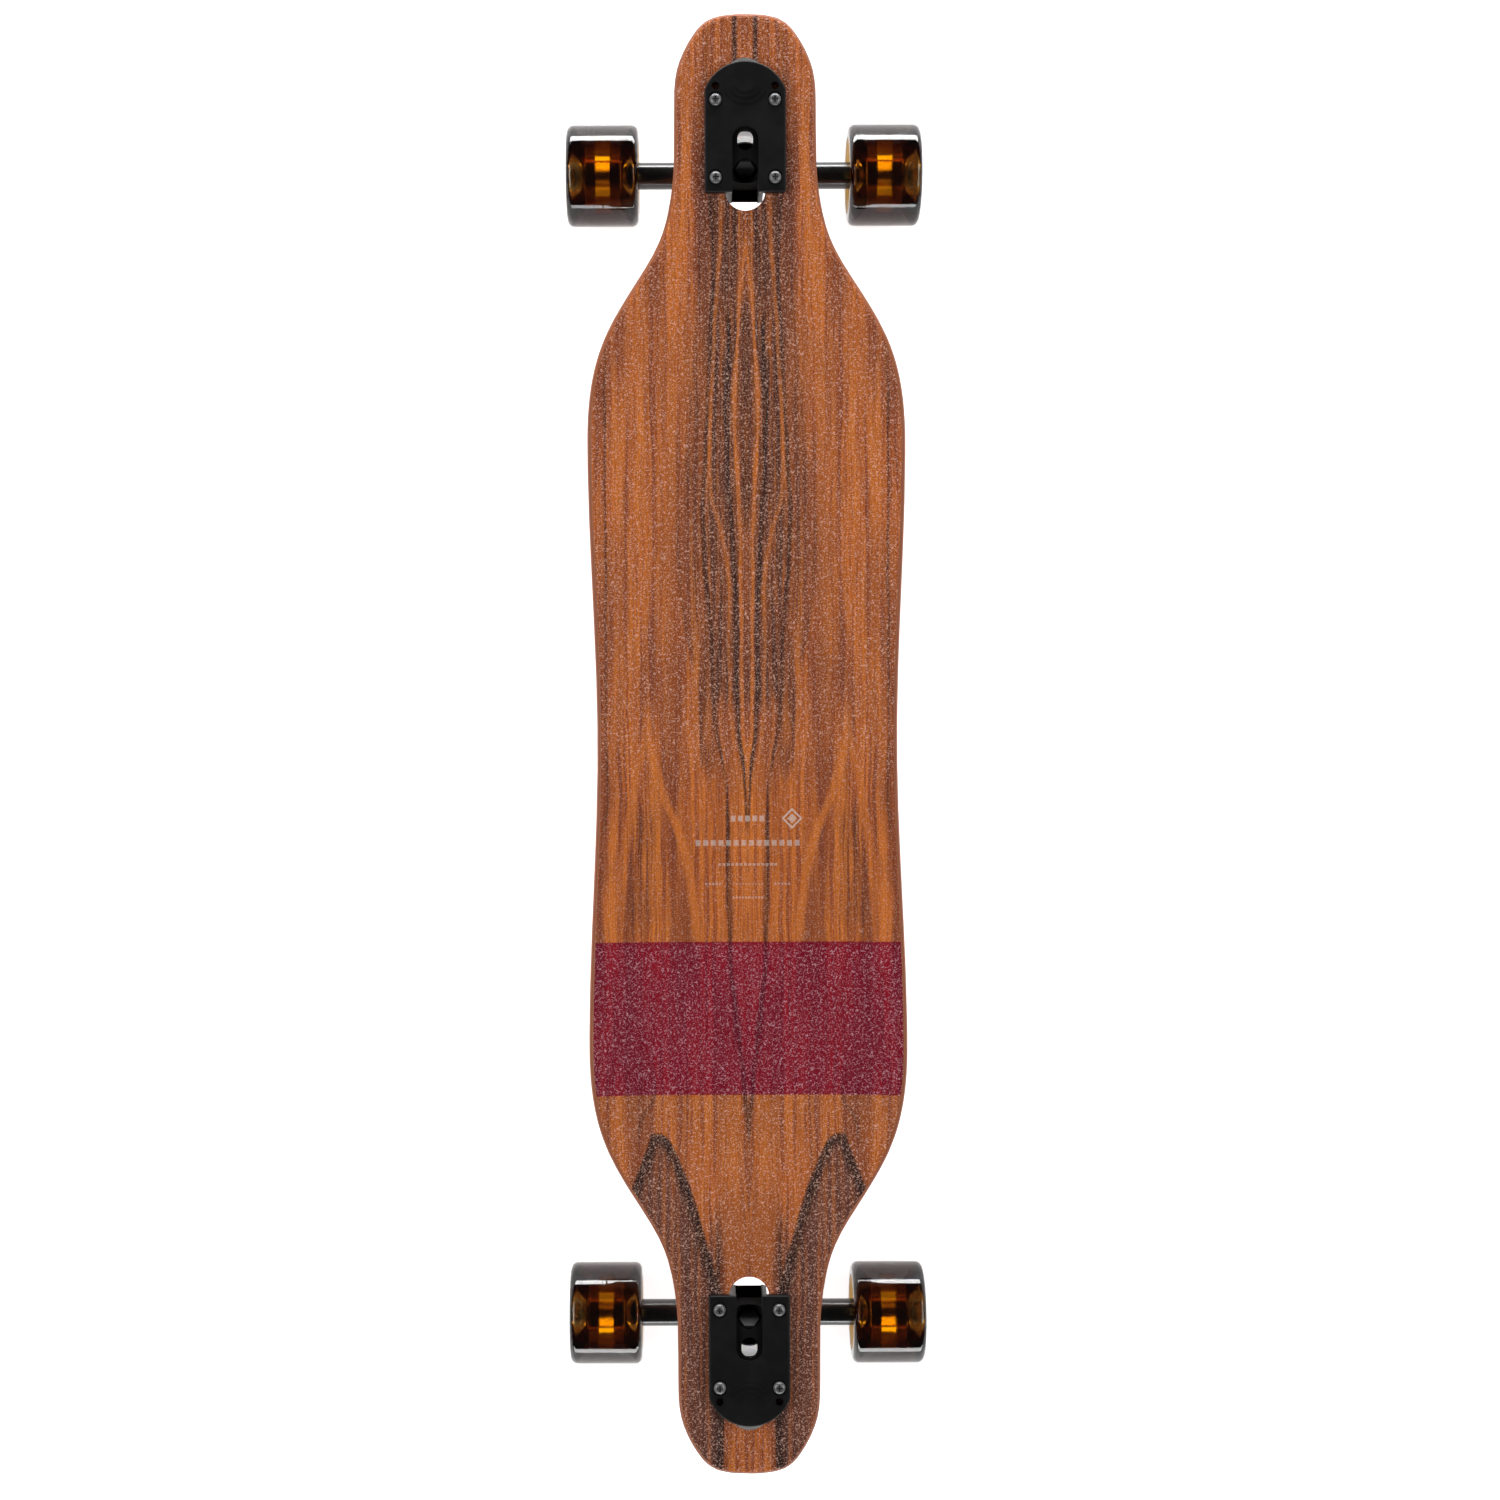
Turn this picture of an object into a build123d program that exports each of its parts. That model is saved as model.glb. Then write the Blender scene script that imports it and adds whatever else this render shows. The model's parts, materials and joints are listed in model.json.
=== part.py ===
from build123d import *
import os
from math import cos, radians, sin

# Drop-through longboard skateboard, millimetres.
# Origin on the ground midway between the wheels, X across the board, +Y to the nose, +Z up.

# ---- Deck ----
DECK_TOP = 101.0
DECK_THICKNESS = 11.0
VENEER = 0.5
RIM_ROUNDING = 4.0
SHEET_MARGIN = 10.0
# Half the outline from the waist to the tip, as (X, Y); the outline is the same in all four quarters.
WAIST_HALF = (104.2, 0)
WIDEST_HALF = (110.5, 210)
SHOULDER = [(98.9, 281), (75.5, 323), (57.2, 358), (50.6, 392)]
NECK_START = (49.6, 425)
NECK_END = (49.6, 441)
NOSE_CURVE = [(46.1, 475.0), (34.8, 496.4)]
HALF_LENGTH = 509.0
# Concave: flat along the middle, then an arc that lifts each rail.
FLAT_HALF = 50.0
CONCAVE_RADIUS = 236.0
CONCAVE_SWEEP = 17.0

# ---- Trucks ----
AXLE_Y = 410.0
AXLE_Z = 36.0
PLATE_THICKNESS = 6.0
PLATE_HALF = 28.2
PLATE_INNER_Y = 383.0
PLATE_SHOULDER_Y = 454.0
PLATE_APEX_Y = 474.0
BOLT_X = 20.65
BOLT_ROWS = [393.0, 447.0]
SPARE_ROW = 456.5
BOLT_HOLE_R = 2.75
CUTOUT_WIDTH = 28.0
CUTOUT_INNER_Y = 371.0
CUTOUT_OUTER_Y = 477.6
# The ring and kingpin centre, outward from the axle and above it, and the tilt of the steering axis.
RING_OUT = 15.45
RING_UP = 36.25
TILT = radians(45)
HEAD_SEAT = -29.0
BUSHING_SEAT = -21.0
KINGPIN_R = 4.76
HEX_ACROSS = 14.3
TOWER_WIDTH = 26.0
HOUSING_R = 8.3
HOUSING_START = 28.0
HOUSING_END = 42.5
CUP_R = 6.3
NOSE_R = 4.5
ARM_R = 9.55
HANGER_HALF = 87.85
AXLE_R = 3.97
AXLE_HALF = 123.8
SWING_CLEARANCE_R = 8.7

# ---- Wheels and bearings ----
WHEEL_X = 101.0
WHEEL_R = 36.0
WHEEL_WIDTH = 51.5
BEARING_R = 11.0
BEARING_BORE_R = 4.0
BEARING_WIDTH = 7.0
SPACER_LENGTH = 10.3
SPEED_WASHER = 1.0
BALL_COUNT = 7
BALL_R = 1.98
BALL_PITCH_R = 7.5

# ---- Gaps between pieces that slide, screw or press together ----
SLIDE_GAP = 0.1
THREAD_GAP = 0.02
PRESS_GAP = 0.01

os.makedirs("parts", exist_ok=True)


def write_piece(name, piece):
    piece.label = name
    export_step(piece, f"parts/{name}.step")


def write_pair(name, piece):
    """Write a truck piece at the front, and turned half round about Z at the rear."""
    write_piece(f"front_{name}", piece)
    with BuildPart() as turned:
        add(piece, rotation=(0, 0, 180))
    write_piece(f"rear_{name}", turned.part)


# ---- Shared deck shapes ----
with BuildSketch() as outline:
    with BuildLine():
        Spline(WAIST_HALF, WIDEST_HALF, tangents=[(0, 1), (0, 1)])
        Spline(WIDEST_HALF, *SHOULDER, NECK_START, tangents=[(0, 1), (0, 1)])
        Line(NECK_START, NECK_END)
        Spline(NECK_END, *NOSE_CURVE, (0, HALF_LENGTH), tangents=[(0, 1), (-1, 0)])
        mirror(about=Plane.YZ)
        mirror(about=Plane.XZ)
    make_face()


def concave_sheet(top_drop, bottom_drop):
    """A sheet between two depths below the deck's curved top, longer and wider than the deck."""
    arc_centre = (FLAT_HALF, DECK_TOP + CONCAVE_RADIUS)
    with BuildPart() as sheet:
        with BuildSketch(Plane.XZ):
            with BuildLine():
                lower = CenterArc(arc_centre, CONCAVE_RADIUS + bottom_drop, -90, CONCAVE_SWEEP)
                upper = CenterArc(arc_centre, CONCAVE_RADIUS + top_drop, -90, CONCAVE_SWEEP)
                Line(lower @ 1, upper @ 1)
                Polyline(lower @ 0, (0, DECK_TOP - bottom_drop), (0, DECK_TOP - top_drop), upper @ 0)
            make_face()
            mirror(about=Plane.YZ)
        extrude(amount=HALF_LENGTH + SHEET_MARGIN, both=True)
    return sheet.part


with BuildPart() as deck_blank:
    add(concave_sheet(0, DECK_THICKNESS))
    with BuildSketch(Plane.XY.offset(DECK_TOP - 2 * DECK_THICKNESS)):
        add(outline.sketch)
    extrude(amount=4 * DECK_THICKNESS, mode=Mode.INTERSECT)
    side_walls = deck_blank.faces().filter_by(lambda face: abs(face.normal_at().Z) < 0.1)
    fillet(side_walls.edges().filter_by(Axis.Z, reverse=True), radius=RIM_ROUNDING)
    with BuildSketch(Plane.XY.offset(DECK_TOP - 2 * DECK_THICKNESS)):
        cutout_y = (CUTOUT_INNER_Y + CUTOUT_OUTER_Y) / 2
        with Locations((0, cutout_y), (0, -cutout_y)):
            SlotOverall(CUTOUT_OUTER_Y - CUTOUT_INNER_Y, CUTOUT_WIDTH, rotation=90)
        for row in BOLT_ROWS:
            with GridLocations(2 * BOLT_X, 2 * row, 2, 2):
                Circle(BOLT_HOLE_R)
    extrude(amount=4 * DECK_THICKNESS, mode=Mode.SUBTRACT)

# ---- Deck core ----
with BuildPart() as deck_core:
    add(deck_blank.part)
    add(concave_sheet(VENEER, DECK_THICKNESS - VENEER), mode=Mode.INTERSECT)
write_piece("deck_core", deck_core.part)

# ---- Top veneer, two book-matched leaves that meet on the centre line ----
for side, name in ((-1, "top_veneer_left"), (1, "top_veneer_right")):
    with BuildPart() as leaf:
        add(deck_blank.part)
        add(concave_sheet(0, VENEER), mode=Mode.INTERSECT)
        with Locations((side * HALF_LENGTH, 0, DECK_TOP)):
            Box(2 * HALF_LENGTH, 4 * HALF_LENGTH, HALF_LENGTH, mode=Mode.INTERSECT)
    write_piece(name, leaf.part)

# ---- Bottom veneer ----
with BuildPart() as bottom_veneer:
    add(deck_blank.part)
    add(concave_sheet(DECK_THICKNESS - VENEER, DECK_THICKNESS), mode=Mode.INTERSECT)
write_piece("bottom_veneer", bottom_veneer.part)

# ---- Truck planes ----
# Along the kingpin runs k, outward and down. Along the steering axis runs t, inward and down.
k_dir = Vector(0, cos(TILT), -sin(TILT))
t_dir = Vector(0, -sin(TILT), -cos(TILT))
ring_centre = Vector(0, AXLE_Y + RING_OUT, AXLE_Z + RING_UP)
across_kingpin = Plane(origin=ring_centre, x_dir=(1, 0, 0), z_dir=k_dir)
across_steering = Plane(origin=ring_centre, x_dir=(1, 0, 0), z_dir=t_dir)
side_view = Plane(origin=ring_centre, x_dir=t_dir, z_dir=(1, 0, 0))
steering_line = Axis(ring_centre, t_dir)
axle_t = RING_OUT * sin(TILT) + RING_UP * cos(TILT)
axle_k = RING_UP * sin(TILT) - RING_OUT * cos(TILT)
plate_bottom = DECK_TOP
plate_top = DECK_TOP + PLATE_THICKNESS

# ---- Baseplate ----
PLATE_CORNER_R = 2.0
PLATE_EDGE_R = 1.2
SLOT_WIDTH = 18.2
SLOT_END_Y = 428.4
SLOT_FLOOR = 3.0
SLOT_CORNER = 8.4
WINDOW_WIDTH = 11.0
WINDOW_Y = (412.5, 426.6)
WINDOW_DEPTH = 25.0
RECESS = (11.5, 9.6)
RECESS_DEPTH = 1.2
RELIEF_HEIGHT = 0.4
RELIEF_WIDTH = 1.0
RELIEF_RADII = (8.0, 12.0, 16.0)
RELIEF_CENTRE = (0, 461.0)
RELIEF_START = 210
RELIEF_SWEEP = 120
# The tower leans inward as it goes down, as far as its bulge, then draws back to the pivot housing.
TOWER_LEAN = (0, -3.1, -18)
TOWER_REACH = 80.0
TOWER_CORNER = 9.0
TOWER_BULGE = (24.3, -40.2)
END_SLOT_Y = 392.0
END_SLOT_FLOOR = 70.0
PLATE_OVERLAP = 0.5
BOSS_HALF = 13.0
CUP_WALL = 2.0
CHANNEL_LENGTH = 60.0
CUT_MARGIN = 1.0

# The tower is a web that hangs from the plate through the deck. Its inner end is rounded.
with BuildPart() as tower:
    with BuildSketch(Plane.XY.offset(plate_bottom + PLATE_OVERLAP)):
        with Locations((0, PLATE_INNER_Y)):
            web = Rectangle(TOWER_WIDTH, 4 * TOWER_WIDTH, align=(Align.CENTER, Align.MIN))
        fillet(web.vertices().group_by(Axis.Y)[0], radius=TOWER_CORNER)
    extrude(amount=TOWER_REACH, dir=TOWER_LEAN)
    # Where the plate's underside crosses the kingpin direction, in side_view coordinates.
    plate_k = (ring_centre.Z - plate_bottom - PLATE_OVERLAP) / sin(TILT)
    with BuildSketch(side_view):
        with BuildLine():
            Polyline(
                (HOUSING_END, 0),
                (HOUSING_START, 0),
                (HOUSING_START, -HOUSING_R),
                (BOSS_HALF, BUSHING_SEAT),
                (-BOSS_HALF, BUSHING_SEAT),
                (-BOSS_HALF, plate_k + BOSS_HALF),
                (BOSS_HALF, plate_k - BOSS_HALF),
                TOWER_BULGE,
                (HOUSING_END, -HOUSING_R),
                close=True,
            )
        make_face()
    extrude(amount=TOWER_WIDTH, both=True, mode=Mode.INTERSECT)

with BuildPart() as baseplate:
    with BuildSketch(Plane.XY.offset(plate_bottom)):
        with BuildLine():
            shoulder = (PLATE_HALF, PLATE_SHOULDER_Y)
            mirrored_shoulder = (-PLATE_HALF, PLATE_SHOULDER_Y)
            ThreePointArc(shoulder, (0, PLATE_APEX_Y), mirrored_shoulder)
            Polyline(shoulder, (PLATE_HALF, PLATE_INNER_Y), (-PLATE_HALF, PLATE_INNER_Y), mirrored_shoulder)
        plate_face = make_face()
        fillet(plate_face.vertices().group_by(Axis.Y)[0], radius=PLATE_CORNER_R)
    extrude(amount=PLATE_THICKNESS)
    fillet(baseplate.faces().sort_by(Axis.Z)[-1].edges(), radius=PLATE_EDGE_R)
    # Three nested arcs stand just proud of the rounded end.
    with BuildSketch(Plane.XY.offset(plate_top)):
        with BuildLine():
            for radius in RELIEF_RADII:
                CenterArc(RELIEF_CENTRE, radius, RELIEF_START, RELIEF_SWEEP)
        trace(line_width=RELIEF_WIDTH)
    extrude(amount=RELIEF_HEIGHT)
    add(tower.part)
    with BuildSketch(across_steering.offset(HOUSING_START)):
        Circle(HOUSING_R)
    extrude(amount=HOUSING_END - HOUSING_START)
    # Bore for the pivot cup, closed at its far end.
    with BuildSketch(across_steering.offset(HOUSING_START)):
        Circle(CUP_R)
    extrude(amount=HOUSING_END - HOUSING_START - CUP_WALL, mode=Mode.SUBTRACT)
    # Slot floor, open at the plate's inner edge.
    with BuildSketch(Plane.XY.offset(plate_top - SLOT_FLOOR)):
        with Locations((0, SLOT_END_Y)):
            slot = Rectangle(SLOT_WIDTH, 2 * SLOT_WIDTH, align=(Align.CENTER, Align.MAX))
        fillet(slot.vertices().group_by(Axis.Y)[-1], radius=SLOT_CORNER)
    extrude(amount=PLATE_THICKNESS, mode=Mode.SUBTRACT)
    # Oval window through the slot floor and the outer edge of the boss, down to the bushing's washer.
    with BuildSketch(Plane.XY.offset(plate_top)):
        with Locations((0, sum(WINDOW_Y) / 2)):
            SlotOverall(WINDOW_Y[1] - WINDOW_Y[0], WINDOW_WIDTH, rotation=90)
    extrude(amount=-WINDOW_DEPTH, mode=Mode.SUBTRACT)
    # Kingpin hole, and the channel that its head drops in through.
    with BuildSketch(across_kingpin.offset(BUSHING_SEAT + CUT_MARGIN)):
        Circle(KINGPIN_R + SLIDE_GAP)
    extrude(amount=HEAD_SEAT - BUSHING_SEAT - 2 * CUT_MARGIN, mode=Mode.SUBTRACT)
    with BuildSketch(across_kingpin.offset(HEAD_SEAT)):
        Circle(SLOT_WIDTH / 2)
    extrude(amount=-CHANNEL_LENGTH, mode=Mode.SUBTRACT)
    # The channel runs out through the tower's inner end, between two cheeks.
    with BuildSketch(Plane.XY.offset(END_SLOT_FLOOR)):
        with Locations((0, END_SLOT_Y)):
            Rectangle(SLOT_WIDTH, 2 * SLOT_WIDTH, align=(Align.CENTER, Align.MAX))
    extrude(amount=plate_top - END_SLOT_FLOOR, mode=Mode.SUBTRACT)
    # Bolt recesses and holes; the row nearest the rounded end is spare.
    with BuildSketch(Plane.XY.offset(plate_top)):
        for row in BOLT_ROWS:
            with Locations((-BOLT_X, row), (BOLT_X, row)):
                SlotOverall(*RECESS, rotation=90)
    extrude(amount=-RECESS_DEPTH, mode=Mode.SUBTRACT)
    with BuildSketch(Plane.XY.offset(plate_top)):
        for row in (*BOLT_ROWS, SPARE_ROW):
            with Locations((-BOLT_X, row), (BOLT_X, row)):
                Circle(BOLT_HOLE_R)
    extrude(amount=-PLATE_THICKNESS, mode=Mode.SUBTRACT)
write_pair("baseplate", baseplate.part)

# ---- Pivot cup, a blind urethane sleeve around the hanger's nose ----
CUP_POCKET_R = NOSE_R + SLIDE_GAP
NOSE_BALL_T = 33.5
with BuildPart() as pivot_cup:
    with BuildSketch(across_steering.offset(HOUSING_START)):
        Circle(CUP_R)
    extrude(amount=HOUSING_END - HOUSING_START - CUP_WALL)
    with BuildSketch(across_steering.offset(HOUSING_START)):
        Circle(CUP_POCKET_R)
    extrude(amount=NOSE_BALL_T - HOUSING_START, mode=Mode.SUBTRACT)
    with Locations(ring_centre + t_dir * NOSE_BALL_T):
        Sphere(CUP_POCKET_R, mode=Mode.SUBTRACT)
write_pair("pivot_cup", pivot_cup.part)

# ---- Kingpin, a hex-headed bolt ----
HEAD_HEIGHT = 6.0
KINGPIN_TIP = 32.5
HEAD_CHAMFER = 1.1
TIP_CHAMFER = 0.8
HEX_CORNER_R = HEX_ACROSS / 2 / cos(radians(30))
with BuildPart() as kingpin:
    with BuildSketch(across_kingpin.offset(HEAD_SEAT)):
        RegularPolygon(HEX_CORNER_R, 6)
    extrude(amount=-HEAD_HEIGHT)
    chamfer(kingpin.faces().sort_by(Axis(ring_centre, k_dir))[0].edges(), length=HEAD_CHAMFER)
    with BuildSketch(across_kingpin.offset(HEAD_SEAT)):
        Circle(KINGPIN_R)
    extrude(amount=KINGPIN_TIP - HEAD_SEAT)
    chamfer(kingpin.faces().sort_by(Axis(ring_centre, k_dir))[-1].edges(), length=TIP_CHAMFER)
write_pair("kingpin", kingpin.part)

# ---- Bushings, washers and nut, stacked along the kingpin ----
RING_WEB = 4.5
BUSHING_LENGTH = 15.0
BUSHING_R = 12.0
CONE_TIP_R = 10.0
WASHER_R = 12.4
WASHER_THICKNESS = 1.5
TOP_WASHER_R = 10.8
TOP_WASHER_THICKNESS = 2.0
KINGPIN_NUT_HEIGHT = 8.0
BUSHING_EDGE_R = 1.0
# A locknut is a hexagon with a round collar on top.
COLLAR_HEIGHT = 2.0
COLLAR_STEP = 0.6
STACK_BORE_R = KINGPIN_R + SLIDE_GAP
barrel_start = BUSHING_SEAT + WASHER_THICKNESS

with BuildPart() as bushing_washer:
    with BuildSketch(across_kingpin.offset(BUSHING_SEAT)):
        Circle(WASHER_R)
        Circle(STACK_BORE_R, mode=Mode.SUBTRACT)
    extrude(amount=WASHER_THICKNESS)
write_pair("bushing_washer", bushing_washer.part)

with BuildPart() as boardside_bushing:
    with BuildSketch(across_kingpin.offset(barrel_start)):
        Circle(BUSHING_R)
        Circle(STACK_BORE_R, mode=Mode.SUBTRACT)
    extrude(amount=BUSHING_LENGTH)
    fillet(boardside_bushing.edges().filter_by(GeomType.CIRCLE).sort_by(SortBy.RADIUS)[-2:], radius=BUSHING_EDGE_R)
write_pair("boardside_bushing", boardside_bushing.part)

with BuildPart() as roadside_bushing:
    with BuildSketch(across_kingpin.offset(RING_WEB)):
        Circle(BUSHING_R)
    with BuildSketch(across_kingpin.offset(RING_WEB + BUSHING_LENGTH)):
        Circle(CONE_TIP_R)
    loft()
    with BuildSketch(across_kingpin.offset(RING_WEB)):
        Circle(STACK_BORE_R)
    extrude(amount=BUSHING_LENGTH, mode=Mode.SUBTRACT)
write_pair("roadside_bushing", roadside_bushing.part)

with BuildPart() as top_washer:
    with BuildSketch(across_kingpin.offset(RING_WEB + BUSHING_LENGTH)):
        Circle(TOP_WASHER_R)
        Circle(STACK_BORE_R, mode=Mode.SUBTRACT)
    extrude(amount=TOP_WASHER_THICKNESS)
write_pair("top_washer", top_washer.part)

nut_start = RING_WEB + BUSHING_LENGTH + TOP_WASHER_THICKNESS
with BuildPart() as kingpin_nut:
    with BuildSketch(across_kingpin.offset(nut_start)):
        RegularPolygon(HEX_CORNER_R, 6)
    extrude(amount=KINGPIN_NUT_HEIGHT - COLLAR_HEIGHT)
    with BuildSketch(across_kingpin.offset(nut_start)):
        Circle(HEX_ACROSS / 2 - COLLAR_STEP)
    extrude(amount=KINGPIN_NUT_HEIGHT)
    with BuildSketch(across_kingpin.offset(nut_start)):
        Circle(KINGPIN_R + THREAD_GAP)
    extrude(amount=KINGPIN_NUT_HEIGHT, mode=Mode.SUBTRACT)
write_pair("kingpin_nut", kingpin_nut.part)

# ---- Mounting bolts and nuts, four of each to a truck ----
BOLT_R = 2.4
BOLT_LENGTH = 22.0
BOLT_HEAD_R = 4.4
BOLT_HEAD_HEIGHT = 2.9
BOLT_DOME_R = 2.8
CROSS_LENGTH = 4.2
CROSS_WIDTH = 1.0
CROSS_DEPTH = 2.0
MOUNT_NUT_ACROSS = 9.5
MOUNT_NUT_HEIGHT = 5.0
bolt_seat = plate_top - RECESS_DEPTH
bolt_spots = [(x, row) for row in BOLT_ROWS for x in (-BOLT_X, BOLT_X)]
with BuildPart() as mounting_bolts:
    with BuildSketch(Plane.XY.offset(bolt_seat)):
        with Locations(bolt_spots):
            Circle(BOLT_HEAD_R)
    extrude(amount=BOLT_HEAD_HEIGHT)
    fillet(mounting_bolts.faces().group_by(Axis.Z)[-1].edges(), radius=BOLT_DOME_R)
    # Cross recess in each head.
    with BuildSketch(Plane.XY.offset(bolt_seat + BOLT_HEAD_HEIGHT)):
        with Locations(bolt_spots):
            Rectangle(CROSS_LENGTH, CROSS_WIDTH)
            Rectangle(CROSS_WIDTH, CROSS_LENGTH)
    extrude(amount=-CROSS_DEPTH, mode=Mode.SUBTRACT)
    with BuildSketch(Plane.XY.offset(bolt_seat)):
        with Locations(bolt_spots):
            Circle(BOLT_R)
    extrude(amount=-BOLT_LENGTH)
write_pair("mounting_bolts", mounting_bolts.part)

with BuildPart() as mounting_nuts:
    with BuildSketch(Plane.XY.offset(DECK_TOP - DECK_THICKNESS)):
        with Locations(bolt_spots):
            RegularPolygon(MOUNT_NUT_ACROSS / 2 / cos(radians(30)), 6)
    extrude(amount=COLLAR_HEIGHT - MOUNT_NUT_HEIGHT)
    with BuildSketch(Plane.XY.offset(DECK_TOP - DECK_THICKNESS)):
        with Locations(bolt_spots):
            Circle(MOUNT_NUT_ACROSS / 2 - COLLAR_STEP)
    extrude(amount=-MOUNT_NUT_HEIGHT)
    with BuildSketch(Plane.XY.offset(DECK_TOP - DECK_THICKNESS)):
        with Locations(bolt_spots):
            Circle(BOLT_R + THREAD_GAP)
    extrude(amount=-MOUNT_NUT_HEIGHT, mode=Mode.SUBTRACT)
write_pair("mounting_nuts", mounting_nuts.part)

# ---- Hanger ----
RING_OUTER_R = 16.6
RING_RIM = 6.5
RING_HOLE_R = 8.0
BUSHING_CUP_R = 12.6
NECK_R = 7.0
NECK_START_T = 14.0
NECK_END_T = HOUSING_START - 0.5
NOSE_ROOT = 0.2
GUSSET_REACH = 45.0
ARM_CHAMFER = 1.5
SADDLE_HALF = 18.0
SADDLE_DROP = 3.0
SWING_CUT_LENGTH = 40.0
across_axle = Plane(origin=(0, AXLE_Y, AXLE_Z), x_dir=(0, 1, 0), z_dir=(1, 0, 0))
with BuildPart() as hanger:
    # Gusset: a side profile, narrowed to a trapezoid between the ring and the arms.
    with BuildSketch(side_view):
        with BuildLine():
            Polyline(
                (10, -2.5),
                (25, -2.5),
                (27, 5.5),
                (axle_t, axle_k - ARM_R),
                (axle_t + ARM_R, axle_k),
                (axle_t, axle_k + ARM_R),
                (28, 17),
                (15, 6.5),
                (10, 6.5),
                close=True,
            )
        make_face()
    extrude(amount=GUSSET_REACH, both=True)
    with BuildSketch(across_kingpin.offset(-RING_RIM)):
        with BuildLine():
            Polyline((15, 6), (16, 17), (40, 33), (40, 48), (-40, 48), (-40, 33), (-16, 17), (-15, 6), close=True)
        make_face()
    extrude(amount=GUSSET_REACH, mode=Mode.INTERSECT)
    # Neck and ring on the steering axis.
    with BuildSketch(across_steering.offset(NECK_START_T)):
        Circle(NECK_R)
    extrude(amount=NECK_END_T - NECK_START_T)
    with BuildSketch(across_kingpin.offset(-RING_RIM)):
        Circle(RING_OUTER_R)
    extrude(amount=2 * RING_RIM)
    # Arms along the axle, thickened behind the pivot.
    with BuildSketch(across_axle):
        Circle(ARM_R)
    extrude(amount=HANGER_HALF, both=True)
    chamfer(hanger.faces().filter_by(Axis.X).group_by(Axis.X)[-1].edges(), length=ARM_CHAMFER)
    chamfer(hanger.faces().filter_by(Axis.X).group_by(Axis.X)[0].edges(), length=ARM_CHAMFER)
    with BuildSketch(across_axle):
        with Locations((SADDLE_DROP * sin(TILT), -SADDLE_DROP * cos(TILT))):
            Circle(ARM_R)
    extrude(amount=SADDLE_HALF, both=True)
    # Bushing seats and kingpin hole.
    for seat in (RING_WEB, -RING_RIM):
        with BuildSketch(across_kingpin.offset(seat)):
            Circle(BUSHING_CUP_R)
        extrude(amount=RING_RIM - RING_WEB, mode=Mode.SUBTRACT)
    with BuildSketch(across_kingpin.offset(-RING_RIM)):
        Circle(RING_HOLE_R)
    extrude(amount=2 * RING_RIM, mode=Mode.SUBTRACT)
    # Room for the pivot housing, then the nose that sits in the cup.
    with BuildSketch(across_steering.offset(NECK_END_T)):
        Circle(SWING_CLEARANCE_R)
    extrude(amount=SWING_CUT_LENGTH, mode=Mode.SUBTRACT)
    with BuildSketch(across_steering.offset(NECK_END_T - NOSE_ROOT)):
        Circle(NOSE_R)
    extrude(amount=NOSE_BALL_T - NECK_END_T + NOSE_ROOT)
    with Locations(ring_centre + t_dir * NOSE_BALL_T):
        Sphere(NOSE_R)
    with BuildSketch(across_axle):
        Circle(AXLE_R + PRESS_GAP)
    extrude(amount=HANGER_HALF, both=True, mode=Mode.SUBTRACT)
write_pair("hanger", hanger.part)

# ---- Axle, its nuts and the speed washers ----
AXLE_NUT_ACROSS = 12.7
AXLE_NUT_HEIGHT = 8.0
SPEED_WASHER_R = 5.8
SPACER_R = 5.4
washer_x = WHEEL_X - SPACER_LENGTH / 2 - BEARING_WIDTH
with BuildPart() as axle:
    with BuildSketch(across_axle):
        Circle(AXLE_R)
    extrude(amount=AXLE_HALF, both=True)
    chamfer(axle.edges().filter_by(GeomType.CIRCLE), length=TIP_CHAMFER)
write_pair("axle", axle.part)


def mirrored_at(start_x, end_x, outer_r, inner_r):
    """Two rings on the axle, mirrored about the middle, between two distances from it."""
    with BuildPart() as rings:
        with BuildSketch(across_axle.offset(start_x)):
            Circle(outer_r)
            Circle(inner_r, mode=Mode.SUBTRACT)
        extrude(amount=end_x - start_x)
        mirror(about=Plane.YZ)
    return rings.part


outer_bearing_x = WHEEL_X + SPACER_LENGTH / 2 + BEARING_WIDTH
with BuildPart() as speed_washers:
    add(mirrored_at(washer_x - SPEED_WASHER, washer_x, SPEED_WASHER_R, BEARING_BORE_R))
    add(mirrored_at(outer_bearing_x, outer_bearing_x + SPEED_WASHER, SPEED_WASHER_R, BEARING_BORE_R))
write_pair("speed_washers", speed_washers.part)

nut_x = outer_bearing_x + SPEED_WASHER
with BuildPart() as axle_nuts:
    with BuildSketch(across_axle.offset(nut_x)):
        RegularPolygon(AXLE_NUT_ACROSS / 2 / cos(radians(30)), 6)
    extrude(amount=AXLE_NUT_HEIGHT - COLLAR_HEIGHT)
    with BuildSketch(across_axle.offset(nut_x)):
        Circle(AXLE_NUT_ACROSS / 2 - COLLAR_STEP)
    extrude(amount=AXLE_NUT_HEIGHT)
    with BuildSketch(across_axle.offset(nut_x)):
        Circle(AXLE_R + THREAD_GAP)
    extrude(amount=AXLE_NUT_HEIGHT, mode=Mode.SUBTRACT)
    mirror(about=Plane.YZ)
write_pair("axle_nuts", axle_nuts.part)

with BuildPart() as bearing_spacers:
    spacer_ends = (WHEEL_X - SPACER_LENGTH / 2, WHEEL_X + SPACER_LENGTH / 2)
    add(mirrored_at(*spacer_ends, SPACER_R, BEARING_BORE_R + THREAD_GAP))
write_pair("bearing_spacers", bearing_spacers.part)

# ---- Bearings: the two in a wheel sit either side of its spacer ----
RACE_INNER_R = 6.0
RACE_OUTER_R = 9.0
BALL_GAP = 0.07
GROOVE_R = BALL_R + BALL_GAP
SHIELD_THICKNESS = 0.4
SHIELD_GAP = 0.2
bearing_x = [side * (SPACER_LENGTH + BEARING_WIDTH) / 2 for side in (-1, 1)]


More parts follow.
